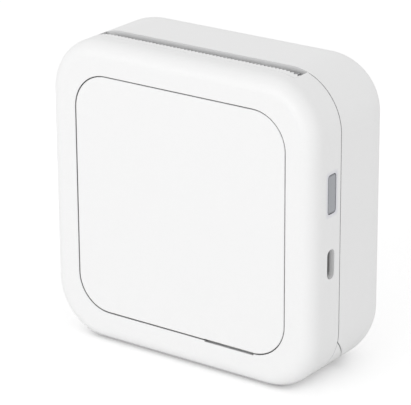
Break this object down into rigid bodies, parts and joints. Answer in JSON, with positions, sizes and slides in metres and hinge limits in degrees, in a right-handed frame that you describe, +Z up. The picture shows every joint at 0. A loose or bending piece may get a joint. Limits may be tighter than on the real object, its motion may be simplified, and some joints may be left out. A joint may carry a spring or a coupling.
{
  "type": "portable thermal printer",
  "caption": "Square pocket thermal printer for narrow paper rolls, with a hinged rear cover, a flat face plate, a tear slot on top and a side power button.",
  "frame": {"origin": "middle of the bottom of the printer, standing on its bottom edge", "axes": "+Z up, -Y out of the front face plate, +X to the side with the button and the USB port"},
  "size_m": [0.082, 0.038, 0.082],
  "materials": {
    "housing_plastic": "fine moulded texture, white",
    "cover_plastic": "fine moulded texture, white",
    "plate_plastic": "satin, white",
    "button_plastic": "satin, grey",
    "holder_plastic": "matt, mid grey",
    "chassis_plastic": "matt, dark grey",
    "gear_plastic": "moulded, natural white",
    "bush_plastic": "moulded, black",
    "black_plastic": "moulded, black",
    "board_laminate": "solder mask, green",
    "cable_film": "satin film",
    "cell_foil": "foil pouch",
    "ceramic": "glazed ceramic",
    "sink_aluminium": "extruded",
    "turned_steel": "ground",
    "screw_steel": "zinc plated",
    "pressed_steel": "pressed sheet",
    "roller_rubber": "ground rubber",
    "lamp_lens": "clear lens"
  },
  "bodies": {
    "housing": {"front_housing": "housing_plastic", "tear_bar": "housing_plastic", "tact_switch": "black_plastic", "usb_socket": "pressed_steel", "status_led": "lamp_lens", "main_board": "board_laminate", "wireless_module": "pressed_steel", "battery_connector": "black_plastic", "flex_connector": "black_plastic", "head_cable": "cable_film", "battery_cell": "cell_foil", "chassis": "chassis_plastic", "paper_sensor": "black_plastic", "mechanism_frame": "pressed_steel", "head_springs": "turned_steel", "idler_axle": "turned_steel", "feed_motor": "pressed_steel", "hinge_pins": "turned_steel", "chassis_screws": "screw_steel", "board_screws": "screw_steel"},
    "rear_cover": {"rear_cover": "cover_plastic", "platen_holder": "holder_plastic", "platen_bushes": "bush_plastic", "holder_screws": "screw_steel"},
    "face_plate": {"face_plate": "plate_plastic"},
    "power_button": {"power_button": "button_plastic", "switch_plunger": "black_plastic"},
    "print_head": {"heater_bar": "ceramic", "heat_sink": "sink_aluminium"},
    "platen": {"platen_rubber": "roller_rubber", "platen_shaft": "turned_steel", "platen_gear": "gear_plastic"},
    "idler": {"idler_gear": "gear_plastic"},
    "motor_rotor": {"motor_pinion": "gear_plastic", "motor_shaft": "turned_steel"}
  },
  "joints": [
    {"name": "cover_hinge", "type": "hinge", "parent": "housing", "child": "rear_cover", "pos_m": [0, 0.0032, 0.0022], "axis": [-1, 0, 0], "range_deg": [0, 90]},
    {"name": "plate_lift", "type": "slide", "parent": "housing", "child": "face_plate", "axis": [0, -1, 0], "range_m": [0, 0.01]},
    {"name": "button_press", "type": "slide", "parent": "housing", "child": "power_button", "axis": [-1, 0, 0], "range_m": [0, 0.0006], "stiffness_N_per_m": 2000, "springref_m": -0.0001},
    {"name": "head_press", "type": "slide", "parent": "housing", "child": "print_head", "axis": [0, -1, 0], "range_m": [0, 0.0004], "stiffness_N_per_m": 1500, "springref_m": -0.001, "deforming": ["head_springs"]},
    {"name": "platen_spin", "type": "hinge", "parent": "rear_cover", "child": "platen", "pos_m": [0, -0.005, 0.0695], "axis": [1, 0, 0], "continuous": true},
    {"name": "idler_spin", "type": "hinge", "parent": "housing", "child": "idler", "pos_m": [0, -0.0106, 0.06497], "axis": [1, 0, 0], "continuous": true},
    {"name": "motor_spin", "type": "hinge", "parent": "housing", "child": "motor_rotor", "pos_m": [0, -0.00928, 0.05749], "axis": [1, 0, 0], "continuous": true}
  ],
  "couplings": [
    {"joint": "idler_spin", "follows": "platen_spin", "ratio": -2},
    {"joint": "motor_spin", "follows": "platen_spin", "ratio": 4.3333}
  ]
}
